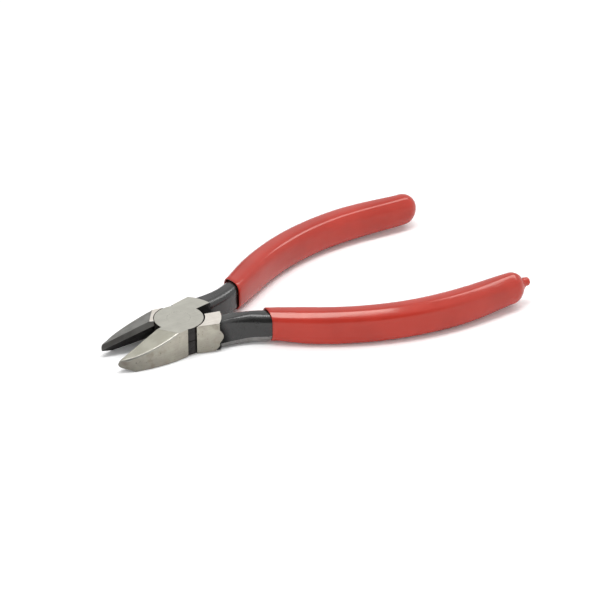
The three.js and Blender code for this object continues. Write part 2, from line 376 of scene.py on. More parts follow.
def jaw_corners(x, half_width):
    """Corners of the jaw's section, from the foot of its side.

    Each is out, up, rounding, its own zone and the next face's zone.
    """
    edge_slope = (HEAD_THICKNESS + EDGE_RISE - EDGE_TIP_HEIGHT) / JAW_LENGTH
    ridge_slope = (HEAD_THICKNESS + RIDGE_RISE - RIDGE_TIP_HEIGHT) / JAW_LENGTH
    edge = min(HEAD_THICKNESS + EDGE_RISE + edge_slope * x, HEAD_THICKNESS - SLIVER)
    ridge = HEAD_THICKNESS + RIDGE_RISE + ridge_slope * x
    foot = max(GROUND_STEP, TIP_LIFT * (TIP_LIFT_LENGTH - JAW_LENGTH - x) / TIP_LIFT_LENGTH)

    def top(out):
        bevel = edge + BEVEL_SLOPE * (out - EDGE_STAND)
        return min(HEAD_THICKNESS - GROUND_STEP, ridge - RIDGE_TILT * out, bevel)

    bevel_out = min(
        (ridge - edge + BEVEL_SLOPE * EDGE_STAND) / (BEVEL_SLOPE + RIDGE_TILT),
        (HEAD_THICKNESS - edge) / BEVEL_SLOPE + EDGE_STAND,
    )
    bevel_out = min(max(bevel_out, EDGE_STAND + 2 * SLIVER), half_width - 3 * SLIVER)
    crease_out = (ridge - HEAD_THICKNESS) / RIDGE_TILT
    crease_out = min(max(crease_out, bevel_out + SLIVER), half_width - SLIVER)
    ridge_rounding = lerp(RIDGE_ROUNDING, RIDGE_TIP_ROUNDING, smoothstep(-x, *RIDGE_ROUNDING_RUN))
    relief_out = min(EDGE_STAND + RELIEF_SLOPE * (edge - foot), half_width - 2 * SLIVER)
    return [
        (half_width, foot, SIDE_FOOT_ROUNDING, SIDE, SIDE),
        (half_width, top(half_width), ridge_rounding, WORN, SLOPE),
        (crease_out, top(crease_out), CREASE_ROUNDING, SLOPE, SLOPE),
        (bevel_out, top(bevel_out), BEVEL_ROUNDING, SLOPE, BEVEL),
        (EDGE_STAND, edge, CUTTING_EDGE_ROUNDING, BEVEL, RECESS),
        (relief_out, foot, RELIEF_FOOT_ROUNDING, RECESS, CHEEK),
    ]


def rounded(corners):
    """A closed section with rounded corners, and the zone of the strip after each point."""
    points = []
    zones = []
    places = [Vector(corner[:2]) for corner in corners]
    for i, (_, _, rounding, own_zone, next_zone) in enumerate(corners):
        here = places[i]
        to_before = places[i - 1] - here
        to_after = places[(i + 1) % len(places)] - here
        pull = min(rounding, ROUNDING_SHARE * to_before.length, ROUNDING_SHARE * to_after.length)
        start = here + to_before.normalized() * pull
        end = here + to_after.normalized() * pull
        for share in spread(0.0, 1.0, CORNER_STEPS):
            points.append(start.lerp(here, share).lerp(here.lerp(end, share), share))
            zones.append(own_zone if share < 1 else next_zone)
    return points, zones


def nosed(section, from_tip):
    """A section drawn in towards its middle near the tip, to round it."""
    bare = max(0.0, 1.0 - from_tip / NOSE_LENGTH)
    scale = 1.0 - NOSE_SHRINK * (1.0 - sqrt(1.0 - bare ** 2))
    middle = sum(section, Vector((0.0, 0.0))) / len(section)
    return [middle + (point - middle) * scale for point in section]


def jaw(finishes):
    """The jaw from its tip to its heel. What is flush with the head's face is cheek."""
    rings = []
    for x, half_width in jaw_stations():
        section, zones = rounded(jaw_corners(x, half_width))
        section = nosed(section, JAW_LENGTH + x)
        rings.append([(x, -out, up) for out, up in section])

    def zone_of(row, i, corners):
        flat = all(corner[2] > HEAD_THICKNESS - SLIVER / 2 for corner in corners)
        return CHEEK if flat else zones[i]

    return skin("jaw", rings, zone_of, (SIDE, SIDE), finishes)


# Lap disc, block and tongue

def recess(clearance, bottom, top, finishes):
    """The space that the other half's disc turns in."""
    radius = DISC_RADIUS + clearance
    profile = [(0.0, bottom), (radius, bottom), (radius, top), (0.0, top)]
    return turned("recess", profile, [RECESS] * (len(profile) - 1), finishes)


def lap_disc(bottom, top, finishes):
    """The half's own disc: outer face ground, rim rounded, inner face in the lap."""
    upper = top == HEAD_THICKNESS
    outer, inner, inward = (top, bottom, -1) if upper else (bottom, top, 1)
    rim = [(DISC_RADIUS - pull, outer + inward * depth) for pull, depth in quarter_round(CHEEK_ROUNDING)]
    profile = [(0.0, outer), *rim, (DISC_RADIUS, inner), (0.0, inner)]
    zones = [CHEEK] + [WORN] * ROUNDING_STEPS + [WALL, RECESS]
    if upper:
        profile.reverse()
        zones.reverse()
    return turned("lap_disc", profile, zones, finishes)


def block_side(x):
    """How far out the block's ground side stands."""
    front_radius = DISC_RADIUS + BLOCK_CLEARANCE
    front_half_width = sqrt(front_radius ** 2 - BLOCK_FRONT ** 2)
    return front_half_width + BLOCK_FLARE * (x - BLOCK_FRONT)


def block_end_angle():
    """The angle about the pivot where the ground side meets the block's end arc."""
    side_offset = block_side(0.0) / hypot(1.0, BLOCK_FLARE)
    return atan(BLOCK_FLARE) + asin(side_offset / HEAD_END)


def block(finishes):
    inner = HANDLE_GAP / 2
    angles = spread(asin(inner / HEAD_END), block_end_angle(), ARC_STEPS)
    outline = [Vector((0.0, inner))]
    outline += [HEAD_END * Vector((cos(angle), sin(angle))) for angle in angles]
    outline.append(Vector((BLOCK_FRONT, block_side(BLOCK_FRONT))))
    zones = [OXIDE] * (ARC_STEPS + 1) + [SIDE, RECESS]
    bottom, top = GROUND_STEP, HEAD_THICKNESS - GROUND_STEP
    return prism("block", outline, zones, CHEEK, bottom, top, BLOCK_ROUNDING, finishes)


def upright(x, up, out):
    """A point of the block's ground side: along it, up it, and out from the tool's line."""
    return (x, out + BLOCK_FLARE * x, up)


def tongue(finishes):
    """The rounded end of the ground side, swelling out halfway up the block."""
    root = HEAD_END * cos(block_end_angle())
    back = root - TONGUE_DEPTH
    outline = [Vector((back, TONGUE_HEIGHT + side * TONGUE_HALF_HEIGHT)) for side in (ABOVE, BELOW)]
    for share in spread(-1.0, 1.0, ARC_STEPS):
        swell = ((1 + cos(pi * share)) / 2) ** TONGUE_FLATNESS
        outline.append(Vector((root + TONGUE_REACH * swell, TONGUE_HEIGHT + TONGUE_HALF_HEIGHT * share)))
    zones = [OXIDE] * len(outline)
    outer = block_side(0.0)
    inner = outer - TONGUE_DEPTH
    return prism("tongue", outline, zones, SIDE, inner, outer, BLOCK_ROUNDING, finishes, upright)


def corner_cut(finishes):
    """The lower back corner of the ground side, which stays black."""
    outer = block_side(0.0)
    start, run, rise = CORNER_CUT["x"], CORNER_CUT["run"], CORNER_CUT["rise"]
    end = start + run + 3 * OVERRUN
    places = ((start - OVERRUN * run / rise, -OVERRUN), (end, -OVERRUN), (end, rise), (start + run, rise))
    outline = [Vector(place) for place in places]
    zones = [OXIDE] * len(outline)
    depth = outer - CORNER_CUT["depth"]
    return prism("corner_cut", outline, zones, OXIDE, depth, outer + OVERRUN, SLIVER, finishes, upright)


# Handle centre line and its sections

def centre_line():
    """Points along the centre line with the distance to each."""
    points = []
    root_y = HANDLE_GAP / 2 + HANDLE_ROOT["clearance"] + SHANK_SECTION[0] / 2
    root = {"x": HANDLE_ROOT_X, "y": root_y, **HANDLE_ROOT}
    knots = [root, HANDLE_BEND, HANDLE_CROWN, HANDLE_END]
    for start, end in zip(knots, knots[1:]):
        start_point = Vector((start["x"], start["y"]))
        end_point = Vector((end["x"], end["y"]))
        leaving = start_point + Vector((1.0, start["slope"])).normalized() * start["after"]
        arriving = end_point - Vector((1.0, end["slope"])).normalized() * end["before"]
        for step in range(LINE_SAMPLES):
            points.append(bezier(start_point, leaving, arriving, end_point, step / LINE_SAMPLES))
    points.append(end_point)
    distances = [0.0]
    for before, after in zip(points, points[1:]):
        distances.append(distances[-1] + (after - before).length)
    return points, distances


LINE_POINTS, LINE_DISTANCES = centre_line()
LINE_LENGTH = LINE_DISTANCES[-1]


def on_line(distance):
    """The centre line's point and direction at a distance, straight on past its ends."""
    low = bisect_right(LINE_DISTANCES, distance, 1, len(LINE_DISTANCES) - 1) - 1
    direction = (LINE_POINTS[low + 1] - LINE_POINTS[low]).normalized()
    return LINE_POINTS[low] + direction * (distance - LINE_DISTANCES[low]), direction


def forged_section(distance):
    """The bare forging's half width and half height."""
    sections = [
        (0.0, SHANK_SECTION), (MOUTH_DISTANCE, MOUTH_SECTION), (BELLY_AT, BELLY_SECTION),
        (WAIST_AT, WAIST_SECTION), (TAIL_AT, TAIL_SECTION),
    ]
    for (start, before), (end, after) in zip(sections, sections[1:]):
        if distance < end:
            width, height = blended(before, after, smoothstep(distance, start, end))
            return width / 2, height / 2
    return TAIL_SECTION[0] / 2, TAIL_SECTION[1] / 2


def corner_point(angle, half_width, half_height, corner):
    """A point of a section with corners of a size across and up, and a flatness."""
    wide, tall, flatness = corner
    across = wide * abs(cos(angle)) ** flatness + half_width - wide
    up = tall * abs(sin(angle)) ** flatness + half_height - tall
    return copysign(across, cos(angle)), copysign(up, sin(angle))


def crowned_point(angle, half_width, half_height, squareness):
    """The point of a superellipse whose face looks along an angle."""
    wide = half_width * abs(cos(angle))
    tall = half_height * abs(sin(angle))
    power = squareness / (squareness - 1.0)
    size = (wide ** power + tall ** power) ** (1.0 / squareness)
    across = half_width * wide ** (1.0 / (squareness - 1.0)) / size
    up = half_height * tall ** (1.0 / (squareness - 1.0)) / size
    return copysign(across, cos(angle)), copysign(up, sin(angle))


def scaled(section, scale):
    return [(across * scale, up * scale) for across, up in section]


def placed(distance, section):
    """A section's points set square to the centre line, about halfway up the head."""
    point, direction = on_line(distance)
    rise = smoothstep(distance, HANDLE_LIFT["start"], HANDLE_LIFT["full"])
    rise -= smoothstep(distance, HANDLE_LIFT["fall"], HANDLE_LIFT["end"])
    middle = HEAD_THICKNESS / 2 + HANDLE_LIFT["height"] * rise
    return [
        (point.x - direction.y * across, point.y + direction.x * across, middle + up)
        for across, up in section
    ]


# Shank and tang

def shank_corner(distance, angle):
    if cos(angle) < 0:
        return INNER_CORNER
    if sin(angle) < 0:
        return BOTTOM_OUTER_CORNER
    share = smoothstep(distance, SHANK_FLARE_START, RIM_DISTANCE)
    return blended(TOP_OUTER_CORNER, TOP_OUTER_CORNER_AT_RIM, share)


def shank_section(distance, narrow_side):
    """The forged shank: flared into the block, narrower above or below, and plain under the grip."""
    half_width, half_height = forged_section(distance)
    bare = 1.0 - smoothstep(distance, RIM_DISTANCE, RIM_DISTANCE + GRIP_MOUTH_LENGTH)
    flare = SHANK_FLARE * (1.0 - smoothstep(distance, SHANK_FLARE_START, SHANK_FLARE_LENGTH))
    draft = SHANK_DRAFT * smoothstep(distance, 0.0, SHANK_FLARE_LENGTH)
    draft *= 1.0 - smoothstep(distance, RIM_DISTANCE - SHANK_DRAFT_END, RIM_DISTANCE)
    section = []
    for angle in RING_ANGLES:
        lower = sin(angle) < 0
        height = half_height + SHANK_DROP * bare if lower else half_height
        across, up = corner_point(angle, half_width, height, shank_corner(distance, angle))
        if cos(angle) > 0:
            across += flare - draft * (1.0 + narrow_side * up / half_height) / 2
        section.append((across, up))
    return section


def shank_zone(row, i, corners):
    """Rubbed bare and lightened as a painted reflection of the floor along the lower outer corner, black
    elsewhere.
    """
    turn = degrees(RING_ANGLES[i])
    return RUBBED_AND_PAINTED_REFLECTION if RUBBED_AND_PAINTED_REFLECTION_BAND[0] < turn < RUBBED_AND_PAINTED_REFLECTION_BAND[1] else OXIDE


def stations(start, end, spacing):
    return spread(start, end, max(1, ceil((end - start) / spacing)))


def dome(end, dome_length, last_angle, steps):
    """Places along a domed end, each with the share of its section left there."""
    angles = [radians(last_angle) * step / steps for step in range(1, steps + 1)]
    return [(end - dome_length + dome_length * sin(angle), cos(angle)) for angle in angles]


def shank(narrow_side, finishes):
    """The shank from inside the block to the grip, then the tang to its domed end."""
    tang_end = LINE_LENGTH - GRIP_WALL - GRIP_CLEARANCE
    dome_length = GRIP_DOME_LENGTH - GRIP_WALL - GRIP_CLEARANCE
    shown_end = RIM_DISTANCE + GRIP_MOUTH_LENGTH
    distances = stations(0.0, shown_end, SHANK_SPACING)
    distances += stations(shown_end, tang_end - dome_length, TANG_SPACING)[1:]
    rings = [placed(distance, shank_section(distance, narrow_side)) for distance in distances]
    for distance, scale in dome(tang_end, dome_length, CAVITY_LAST_ANGLE, CAVITY_DOME_STEPS):
        rings.append(placed(distance, scaled(shank_section(distance, narrow_side), scale)))
    return skin("shank", rings, shank_zone, (OXIDE, OXIDE), finishes)


# Forged halves

def countersunk(name, radius, mouth, depth, overrun, zone, finishes):
    """A shaft through the head with a cone at each end, which may run past the head's faces."""
    low, high = -overrun, HEAD_THICKNESS + overrun
    shaft = [(radius, depth), (radius, HEAD_THICKNESS - depth)]
    profile = [(0.0, low), (mouth, low), *shaft, (mouth, high), (0.0, high)]
    return turned(name, profile, [zone] * (len(profile) - 1), finishes)


def rivet_hole(finishes):
    """The hole for the rivet, countersunk at both ends."""
    slope = (RIVET_HEAD_RADIUS - RIVET_RADIUS) / RIVET_HEAD_DEPTH
    radius = RIVET_RADIUS + RIVET_CLEARANCE
    mouth = RIVET_HEAD_RADIUS + RIVET_CLEARANCE * hypot(1.0, slope)
    depth = (mouth - radius) / slope
    outer = mouth + slope * OVERRUN
    return countersunk("rivet_hole", radius, outer, depth, OVERRUN, RECESS, finishes)


def half(name, disc_span, recess_span, narrow_side, finishes):
    """One forged half: its disc, its jaw and block cut round the other disc, and its shank."""
    jaw_recess = recess(JAW_CLEARANCE, *recess_span, finishes)
    block_recess = recess(BLOCK_CLEARANCE, *recess_span, finishes)
    ground_block = joined(block(finishes), tongue(finishes))
    ground_block = cut(cut(ground_block, corner_cut(finishes)), block_recess)
    made = joined(lap_disc(*disc_span, finishes), cut(jaw(finishes), jaw_recess))
    made = joined(joined(made, ground_block), shank(narrow_side, finishes))
    made = cut(made, rivet_hole(finishes))
    made.name = name
    made.data.name = name
    return made


def soften(made):
    """Smooth shading, with flat faces kept flat and sharp edges kept crisp."""
    work = bmesh.new()
    work.from_mesh(made.data)
    bmesh.ops.remove_doubles(work, verts=work.verts, dist=WELD_DISTANCE)
    bmesh.ops.dissolve_degenerate(work, edges=work.edges, dist=WELD_DISTANCE)
    for face in work.faces:
        face.smooth = True
    limit = radians(SHARP_ANGLE)
    for edge in work.edges:
        edge.smooth = len(edge.link_faces) == 2 and edge.calc_face_angle() < limit
    work.to_mesh(made.data)
    work.free()
    weighting = made.modifiers.new("flat_faces", "WEIGHTED_NORMAL")
    weighting.keep_sharp = True


# Grips

def grip_growth(distance):
    """How far the dipped skin stands out from the forging."""
    share = smoothstep(distance, RIM_DISTANCE, RIM_DISTANCE + GRIP_RIM_TAPER)
    return GRIP_CLEARANCE + lerp(GRIP_RIM_WALL, GRIP_WALL, share) - GRIP_INSET


def faceted_point(angle, half_width, half_height, squareness):
    """The point of a superellipse whose corner has a flatter facet."""
    wide, tall = GRIP_FACET["wide"], GRIP_FACET["tall"]
    across, up = crowned_point(angle, half_width - wide, half_height - tall, squareness)
    lean = degrees(asin(abs(sin(angle))))
    share = smoothstep(lean, GRIP_FACET["low"], GRIP_FACET["high"])
    across += copysign(wide * (1.0 - share), cos(angle))
    up += copysign(tall * share, sin(angle))
    return across, up


def grip_section(distance, facet_side, pull=0.0):
    """The dipped skin's section: squarer at the rim and rounder at the end.

    Its outer corner has a facet above or below.
    """
    half_width, half_height = forged_section(distance)
    growth = grip_growth(distance) - pull
    from_rim = smoothstep(distance, RIM_DISTANCE, RIM_DISTANCE + SQUARENESS_RUN)
    to_end = smoothstep(distance, LINE_LENGTH - SQUARENESS_RUN, LINE_LENGTH)
    plain = lerp(SQUARENESS["rim"], SQUARENESS["plain"], from_rim)
    low_outside = lerp(SQUARENESS["rim"], SQUARENESS["low_outside"], from_rim)
    section = []
    for angle in RING_ANGLES:
        shape, squareness = crowned_point, plain
        if cos(angle) > 0 and sin(angle) < 0:
            squareness = low_outside
        if cos(angle) > 0 and sin(angle) * facet_side > 0:
            shape, squareness = faceted_point, SQUARENESS["facet"]
        squareness = lerp(squareness, SQUARENESS["end"], to_end)
        section.append(shape(angle, half_width + growth, half_height + growth, squareness))
    return section


def cavity_section(distance, clearance):
    """The hollow that holds the tang."""
    half_width, half_height = [size + clearance for size in forged_section(distance)]
    corner = (FORGED_CORNER + clearance, FORGED_CORNER + clearance, 1.0)
    return [corner_point(angle, half_width, half_height, corner) for angle in RING_ANGLES]


def slanted(distance, section):
    """A section's points, leaned near the rim to be about square to the tool."""
    lean = GRIP_RIM_LEAN * (1.0 - smoothstep(distance, RIM_DISTANCE, RIM_DISTANCE + GRIP_RIM_LEAN_RUN))
    _, direction = on_line(distance)
    return [
        (x + direction.x * across * lean, y + direction.y * across * lean, z)
        for (x, y, z), (across, _) in zip(placed(distance, section), section)
    ]


def wavy(ring, start):
    """The slight unevenness of a dipped skin, from its own place in the noise."""
    moved = []
    for x, y, z in ring:
        point = Vector((x, y, z)) / GRIP_WAVE_LENGTH + Vector((start, start, start))
        shift = GRIP_WAVE * noise.noise_vector(point)
        moved.append((x + shift.x, y + shift.y, z + shift.z * GRIP_WAVE_UPRIGHT_SHARE))
    return moved


def nipple_rings():
    """The drip left on a grip's end, from the dome out to its tip."""
    rings = []
    dome_end = LINE_LENGTH - GRIP_DOME_LENGTH * (1.0 - sin(radians(NIPPLE_DOME_ANGLE)))
    reach = LINE_LENGTH + NIPPLE_LENGTH - dome_end
    for share, width in NIPPLE_SHAPE:
        radius = NIPPLE_RADIUS * width
        section = [(radius * cos(angle), radius * sin(angle) + NIPPLE_RISE) for angle in RING_ANGLES]
        rings.append(placed(dome_end + reach * share, section))
    return rings


def grip_hollow_rings():
    """The hollow for the tang, from its domed end out to the open rim."""
    cavity_end = LINE_LENGTH - GRIP_WALL
    cavity_dome = GRIP_DOME_LENGTH - GRIP_WALL
    rings = []
    for distance, scale in reversed(dome(cavity_end, cavity_dome, CAVITY_LAST_ANGLE, CAVITY_DOME_STEPS)):
        rings.append(placed(distance, scaled(cavity_section(distance, GRIP_CLEARANCE), scale)))
    inside = stations(RIM_DISTANCE + 2 * GRIP_MOUTH_LENGTH, cavity_end - cavity_dome, TANG_SPACING)
    rings += [placed(distance, cavity_section(distance, GRIP_CLEARANCE)) for distance in reversed(inside)]
    for share in spread(0.0, 1.0, MOUTH_STEPS):
        distance = RIM_DISTANCE + lerp(GRIP_MOUTH_LENGTH, LIP_EDGE, share)
        clearance = lerp(GRIP_CLEARANCE, GRIP_MOUTH_CLEARANCE, share)
        rings.append(slanted(distance, cavity_section(distance, clearance)))
    return rings


def grip_lip_rings(facet_side):
    """The lip at the open rim, from the hollow to the outside."""
    inner = cavity_section(RIM_DISTANCE, GRIP_MOUTH_CLEARANCE)
    outer = grip_section(RIM_DISTANCE, facet_side)
    rings = []
    for share in LIP_SHARES:
        lip = [blended(*points, share) for points in zip(inner, outer)]
        rings.append(slanted(RIM_DISTANCE, lip))
    edge = grip_section(RIM_DISTANCE, facet_side, pull=LIP_EDGE / 4)
    rings.append(slanted(RIM_DISTANCE + LIP_EDGE / 2, edge))
    return rings


def grip(name, with_nipple, facet_side, wave_start, finishes):
    """A dipped grip as one closed skin: the hollow, the lip, then the outside to its end."""
    rings = grip_hollow_rings() + grip_lip_rings(facet_side)
    dome_start = LINE_LENGTH - GRIP_DOME_LENGTH
    for distance in stations(RIM_DISTANCE + LIP_EDGE, dome_start, GRIP_SPACING):
        rings.append(wavy(slanted(distance, grip_section(distance, facet_side)), wave_start))
    last_angle = NIPPLE_DOME_ANGLE if with_nipple else DOME_LAST_ANGLE
    for distance, scale in dome(LINE_LENGTH, GRIP_DOME_LENGTH, last_angle, DOME_STEPS):
        section = scaled(grip_section(distance, facet_side), scale)
        rings.append(wavy(placed(distance, section), wave_start))
    if with_nipple:
        rings += nipple_rings()
    made = skin(name, rings, lambda row, i, corners: 0, (0, 0), finishes)
    made.data.shade_smooth()
    return made


# Material settings: noise scales are per metre, depths are metres, and a range is where a noise fades in

EVEN = (1.0, 1.0, 1.0)
MOTTLE = {"scale": 330.0, "detail": 3.0, "range": (0.35, 0.65)}
GRINDING = {
    "scale": 900.0, "detail": 4.0, "stretch": (0.12, 3.0, 3.0), "range": (0.3, 0.7),
    "share": 0.12, "colour": (0.3, 0.29, 0.27),
    "smoother": 0.05, "rougher": 0.07, "bump": 0.18, "depth": 0.00004,
}
PITS = {"scale": 1500.0, "detail": 1.0, "range": (0.68, 0.76), "share": 0.6, "colour": (0.06, 0.05, 0.05)}

# Dirt and darkening, stains and scale change between two distances from the pivot, and painted shade
# between two heights
TIP_DIRT = {"between": (20.0, 25.0), "share": 0.35}
BEVEL_DIRT = {"between": (9.0, 22.0), "share": 0.55}
# The ground sides: darker towards the tip
SIDE_DARKENING = {"between": (9.0, 26.0), "share": 0.5}
RIDGE_DIRT = {"between": (15.5, 20.0), "share": 0.42}
DARKENING_COLOUR = (0.09, 0.085, 0.08)
# Painted shade: the ground sides are darker towards their foot, where they mirror the floor's contact
# shadow
PAINTED_FOOT_SHADE = {"between": (0.5, 8.5), "share": 0.42, "colour": (0.09, 0.085, 0.07)}
STAINS = {
    "scale": 300.0, "detail": 4.0, "range": (0.48, 0.66),
    "between": (8.0, 21.0), "faint": 0.12, "strong": 0.6, "colour": (0.2, 0.15, 0.115),
}
SCALE = {"between": (13.9, 16.4), "share": 0.1}

# Ground steel: colour, mottling shade, roughness, the half whose turn its grinding follows, and how it
# darkens towards the tip
GROUND_STEEL = {
    # The near slope: the same ground steel, darkened as painted shade
    "near_slope_painted_shade": ((0.365, 0.355, 0.3), (0.315, 0.305, 0.255), 0.34, UPPER, TIP_DIRT),
    "far_slope": ((0.55, 0.54, 0.512), (0.445, 0.435, 0.41), 0.34, LOWER, TIP_DIRT),
    "ground_bevel": ((0.47, 0.46, 0.44), (0.4, 0.39, 0.37), 0.4, UPPER, BEVEL_DIRT),
    "ground_side": ((0.52, 0.5, 0.42), (0.47, 0.44, 0.375), 0.38, NEITHER, SIDE_DARKENING),
    "worn_edge": ((0.52, 0.505, 0.45), (0.46, 0.445, 0.4), 0.42, NEITHER, RIDGE_DIRT),
    "ground_cheek": ((0.54, 0.53, 0.47), (0.5, 0.49, 0.435), 0.34, UPPER, TIP_DIRT),
    # The lower half's cheek: the same ground steel, lighter as a painted highlight where its grinding
    # catches the light
    "painted_highlight_cheek": ((0.84, 0.79, 0.72), (0.76, 0.71, 0.64), 0.33, LOWER, TIP_DIRT),
}
# Ground steels with pits, stains and painted shade towards the foot
SOILED_AND_PAINTED_SHADE = ("ground_side",)

# Blackened forging: colour, roughness and specular level, and which of it has dull scale by the head
BLACK_OXIDE = {
    "black_oxide": ((0.009, 0.009, 0.0085), 0.24, 0.72),
    # Rubbed bare along the lower outer corner, and lighter there as a painted reflection of the floor
    "rubbed_oxide_painted_reflection": ((0.15, 0.146, 0.14), 0.24, 0.6),
    "lap_recess": ((0.012, 0.011, 0.01), 0.5, 0.1),
    "lap_wall": ((0.014, 0.012, 0.011), 0.26, 0.25),
}
SCALED = ("black_oxide", "rubbed_oxide_painted_reflection")
PATCHES = {
    "scale": 260.0, "detail": 4.0, "range": (0.45, 0.75),
    "share": 0.6, "brighter": 2.0, "gloss_range": (0.3, 0.7), "gloss": 0.06,
}
OXIDE_GRAIN = {"scale": 1900.0, "detail": 3.0, "bump": 0.5, "depth": 0.00006}

RED_DIP = {
    "dark": (0.39, 0.026, 0.016), "light": (0.445, 0.032, 0.02),
    "roughness": (0.11, 0.17), "specular": 0.5, "tint": (1.0, 0.92, 0.84),
}
DIP_CLOUD = {"scale": 90.0, "detail": 3.0, "range": (0.3, 0.7)}
DIP_SKIN = {"scale": 320.0, "detail": 2.0, "range": (0.3, 0.7), "bump": 0.04, "depth": 0.0002}

# Sockets of a colour mix by place, because their names repeat
MIX_SHARE, MIX_FIRST, MIX_SECOND, MIX_RESULT = 0, 6, 7, 2


# Nodes

def feed(tree, node, key, value):
    """Links another socket to a node's input, or sets it to a value. A colour has three values."""
    socket = node.inputs[key]
    if isinstance(value, bpy.types.NodeSocket):
        tree.links.new(value, socket)
    elif socket.type == "RGBA":
        socket.default_value = (*value, 1.0)
    else:
        socket.default_value = value


def add_node(tree, kind, settings=None, **inputs):
    """A node with its settings, and its inputs fed by name."""
    made = tree.nodes.new(kind)
    for key, value in (settings or {}).items():
        setattr(made, key, value)
    for key, value in inputs.items():
        feed(tree, made, key.replace("_", " "), value)
    return made


def maths(tree, operation, first, second):
    made = add_node(tree, "ShaderNodeMath", {"operation": operation})
    feed(tree, made, 0, first)
    feed(tree, made, 1, second)
    return made.outputs["Value"]


def mixed(tree, share, first, second):
    """A mix of two colours, from the first to the second."""
    made = add_node(tree, "ShaderNodeMix", {"data_type": "RGBA"})
    feed(tree, made, MIX_SHARE, share)
    feed(tree, made, MIX_FIRST, first)
    feed(tree, made, MIX_SECOND, second)
    return made.outputs[MIX_RESULT]


def ranged(tree, value, source, target=(0.0, 1.0)):
    """A value mapped smoothly from one range to another, and held at its ends."""
    return add_node(
        tree, "ShaderNodeMapRange", {"interpolation_type": "SMOOTHSTEP"},
        Value=value, From_Min=source[0], From_Max=source[1], To_Min=target[0], To_Max=target[1],
    ).outputs["Result"]


def in_place(tree):
    """The place on a piece, in its own metres."""
    return add_node(tree, "ShaderNodeTexCoord").outputs["Object"]


def pattern(tree, settings, turn=0.0):
    """Noise over a piece, stretched along a direction in plan."""
    stretch = settings.get("stretch", EVEN)
    turned_by = (0.0, 0.0, turn)
    mapping = add_node(tree, "ShaderNodeMapping", Vector=in_place(tree), Scale=stretch, Rotation=turned_by)
    return add_node(
        tree, "ShaderNodeTexNoise",
        Vector=mapping.outputs["Vector"], Scale=settings["scale"], Detail=settings["detail"],
    ).outputs["Fac"]


def length(tree, vector):
    return add_node(tree, "ShaderNodeVectorMath", {"operation": "LENGTH"}, Vector=vector).outputs["Value"]


def away(tree, settings, target):
    """A value that changes between two distances from the pivot."""
    source = [distance * MM for distance in settings["between"]]
    return ranged(tree, length(tree, in_place(tree)), source, target)


def bump(tree, shader, relief, settings):
    made = add_node(
        tree, "ShaderNodeBump", Strength=settings["bump"], Distance=settings["depth"], Height=relief
    )
    feed(tree, shader, "Normal", made.outputs["Normal"])


# Materials

def material(name):
    made = bpy.data.materials.new(name)
    made.use_nodes = True
    return made, made.node_tree, made.node_tree.nodes["Principled BSDF"]


def soiled_and_painted_shade(tree, base):
    """A colour with dark pits, painted shade darker towards the foot, and brown stains towards the tip."""
    pits = ranged(tree, pattern(tree, PITS), PITS["range"], (0.0, PITS["share"]))
    base = mixed(tree, pits, base, PITS["colour"])
    # Painted shade: darker towards the foot, by height
    height = add_node(tree, "ShaderNodeSeparateXYZ", Vector=in_place(tree)).outputs["Z"]
    foot_shade = ranged(tree, height, [level * MM for level in PAINTED_FOOT_SHADE["between"]], (PAINTED_FOOT_SHADE["share"], 0.0))
    base = mixed(tree, foot_shade, base, PAINTED_FOOT_SHADE["colour"])
    cloud = ranged(tree, pattern(tree, STAINS), STAINS["range"])
    strength = away(tree, STAINS, (STAINS["faint"], STAINS["strong"]))
    return mixed(tree, maths(tree, "MULTIPLY", cloud, strength), base, STAINS["colour"])


def ground_steel(name, colour, shade, roughness, half_turn, darkening):
    """Satin ground steel: mottled, with grinding lines, dirt and darkening towards the tip, and sides with
    pits, stains and painted shade.
    """
    made, tree, shader = material(name)
    feed(tree, shader, "Metallic", 1.0)
    mottle = ranged(tree, pattern(tree, MOTTLE), MOTTLE["range"])
    lines = pattern(tree, GRINDING, half_turn * radians(OPENING_ANGLE / 2))
    base = mixed(tree, mottle, shade, colour)
    scratched = ranged(tree, lines, GRINDING["range"], (0.0, GRINDING["share"]))
    base = mixed(tree, scratched, base, GRINDING["colour"])
    if name in SOILED_AND_PAINTED_SHADE:
        base = soiled_and_painted_shade(tree, base)
    # Darker towards the tip
    darkened = away(tree, darkening, (0.0, darkening["share"]))
    feed(tree, shader, "Base Color", mixed(tree, darkened, base, DARKENING_COLOUR))
    extremes = (roughness - GRINDING["smoother"], roughness + GRINDING["rougher"])
    feed(tree, shader, "Roughness", ranged(tree, lines, GRINDING["range"], extremes))
    bump(tree, shader, lines, GRINDING)
    return made


def black_oxide(name, colour, roughness, specular):
    """Blackened forging: grainy, with faint rubbed patches, and dull by the head where scaled."""
    made, tree, shader = material(name)
    feed(tree, shader, "Metallic", 0.0)
    feed(tree, shader, "Specular IOR Level", specular)
    if name in SCALED:
        dulled = away(tree, SCALE, (SCALE["share"] * specular, specular))
        feed(tree, shader, "Specular IOR Level", dulled)
    patches = pattern(tree, PATCHES)
    rubbed = [PATCHES["brighter"] * channel for channel in colour]
    share = ranged(tree, patches, PATCHES["range"], (0.0, PATCHES["share"]))
    feed(tree, shader, "Base Color", mixed(tree, share, colour, rubbed))
    extremes = (roughness + PATCHES["gloss"], roughness - PATCHES["gloss"])
    feed(tree, shader, "Roughness", ranged(tree, patches, PATCHES["gloss_range"], extremes))
    bump(tree, shader, pattern(tree, OXIDE_GRAIN), OXIDE_GRAIN)
    return made


